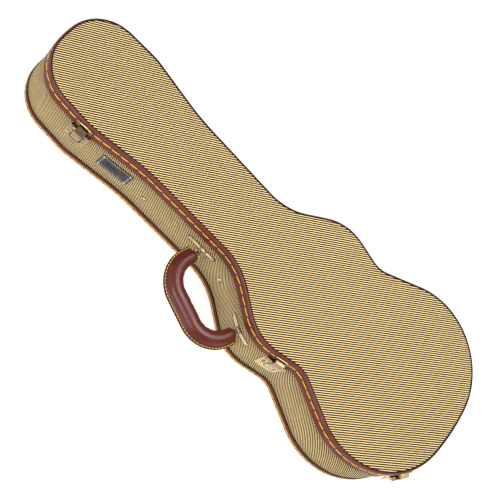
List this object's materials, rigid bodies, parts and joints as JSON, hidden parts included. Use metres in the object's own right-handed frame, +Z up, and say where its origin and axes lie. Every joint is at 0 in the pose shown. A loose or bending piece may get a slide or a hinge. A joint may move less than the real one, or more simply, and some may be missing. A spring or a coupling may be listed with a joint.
{
  "type": "guitar case",
  "caption": "Small guitar or ukulele hard case with arched plan, hinged lid, flip latches, D handle, stitched band, lined interior and accessory compartment.",
  "frame": {"origin": "centre of the underside of the shell, on the long centre line midway between head and tail", "axes": "+X from the head end to the tail end, -Y to the latches and handle, +Y to the hinges, +Z up to the lid"},
  "size_m": [0.73, 0.2998, 0.104],
  "materials": {
    "plywood": "bent birch plywood, unvarnished",
    "tweed": "diagonally striped woven tweed covering",
    "leatherette": "reddish brown leatherette, satin, stitched",
    "plush": "short pile plush over foam",
    "handle_leather": "padded reddish brown leather, satin",
    "ribbon": "woven ribbon",
    "name_plate_metal": "dark anodised, satin",
    "steel": "nickel plated",
    "brass": "polished brass plate"
  },
  "bodies": {
    "base": {"base_side_frame": "plywood", "base_floor_board": "plywood", "base_side_cover": "tweed", "base_bottom_cover": "tweed", "base_binding": "leatherette", "base_lip": "plywood", "base_side_lining": "plush", "floor_pad": "plush", "compartment_near_wall": "plush", "compartment_far_wall": "plush", "compartment_hinge_pin": "steel", "neck_cradle": "plush", "latch_plate_head": "brass", "latch_plate_waist": "brass", "latch_plate_tail": "brass", "latch_lever_pins": "brass", "latch_plate_rivets": "brass", "hinge_head_base_leaf": "brass", "hinge_bout_base_leaf": "brass", "hinge_pins": "brass", "hinge_base_rivets": "brass", "handle_bracket_neck": "steel", "handle_bracket_bout": "steel", "handle_pins": "steel", "handle_bracket_screws": "steel", "name_plate": "name_plate_metal", "name_plate_nails": "steel", "wall_rivets": "steel"},
    "lid": {"lid_side_frame": "plywood", "lid_top_board": "plywood", "lid_band": "leatherette", "lid_piping": "leatherette", "lid_top_cover": "tweed", "lid_lining_pad": "plush", "latch_catch_head": "brass", "latch_catch_waist": "brass", "latch_catch_tail": "brass", "latch_catch_rivets": "brass", "hinge_head_lid_leaf": "brass", "hinge_bout_lid_leaf": "brass", "hinge_lid_rivets": "brass"},
    "handle": {"handle_core": "steel", "handle_grip": "handle_leather", "handle_welt": "handle_leather"},
    "latch_head": {"latch_lever_head": "brass", "hasp_pin_head": "brass"},
    "hasp_head": {"latch_hasp_head": "brass"},
    "latch_waist": {"latch_lever_waist": "brass", "hasp_pin_waist": "brass"},
    "hasp_waist": {"latch_hasp_waist": "brass"},
    "latch_tail": {"latch_lever_tail": "brass", "hasp_pin_tail": "brass"},
    "hasp_tail": {"latch_hasp_tail": "brass"},
    "lock": {"lock_cylinder": "brass"},
    "compartment_cover": {"compartment_lid": "plush", "compartment_pull_tab": "ribbon"}
  },
  "joints": [
    {"name": "lid_hinge", "type": "hinge", "parent": "base", "child": "lid", "pos_m": [0.23986, 0.13838, 0.0795], "axis": [-0.9928, -0.1199, 0], "range_deg": [0, 100]},
    {"name": "latch_head_lever", "type": "hinge", "parent": "base", "child": "latch_head", "pos_m": [-0.26434, -0.07334, 0.0803], "axis": [-0.9994, -0.0351, 0], "range_deg": [0, 100]},
    {"name": "latch_head_hasp", "type": "hinge", "parent": "latch_head", "child": "hasp_head", "pos_m": [-0.26423, -0.07654, 0.0763], "axis": [-0.9994, -0.0351, 0], "range_deg": [-150, 0]},
    {"name": "latch_waist_lever", "type": "hinge", "parent": "base", "child": "latch_waist", "pos_m": [0.11792, -0.10493, 0.0803], "axis": [-0.978, -0.2085, 0], "range_deg": [0, 100]},
    {"name": "latch_waist_hasp", "type": "hinge", "parent": "latch_waist", "child": "hasp_waist", "pos_m": [0.11858, -0.10806, 0.0763], "axis": [-0.978, -0.2085, 0], "range_deg": [-150, 0]},
    {"name": "latch_tail_lever", "type": "hinge", "parent": "base", "child": "latch_tail", "pos_m": [0.34561, -0.09153, 0.0803], "axis": [-0.5803, -0.8144, 0], "range_deg": [0, 100]},
    {"name": "latch_tail_hasp", "type": "hinge", "parent": "latch_tail", "child": "hasp_tail", "pos_m": [0.34822, -0.09339, 0.0763], "axis": [-0.5803, -0.8144, 0], "range_deg": [-150, 0]},
    {"name": "lock_turn", "type": "hinge", "parent": "latch_waist", "child": "lock", "pos_m": [0.11775, -0.10415, 0.0645], "axis": [0.2085, -0.978, 0], "range_deg": [0, 90]},
    {"name": "handle_swing", "type": "hinge", "parent": "base", "child": "handle", "pos_m": [0.0011, -0.08455, 0.061], "axis": [0.9369, -0.3496, 0], "range_deg": [-40, 40]},
    {"name": "compartment_lid_hinge", "type": "hinge", "parent": "base", "child": "compartment_cover", "pos_m": [-0.148, 0, 0.0396], "axis": [0, -1, 0], "range_deg": [0, 95]}
  ],
  "couplings": [
    {"joint": "latch_head_hasp", "follows": "latch_head_lever", "ratio": -1.5},
    {"joint": "latch_waist_hasp", "follows": "latch_waist_lever", "ratio": -1.5},
    {"joint": "latch_tail_hasp", "follows": "latch_tail_lever", "ratio": -1.5}
  ]
}
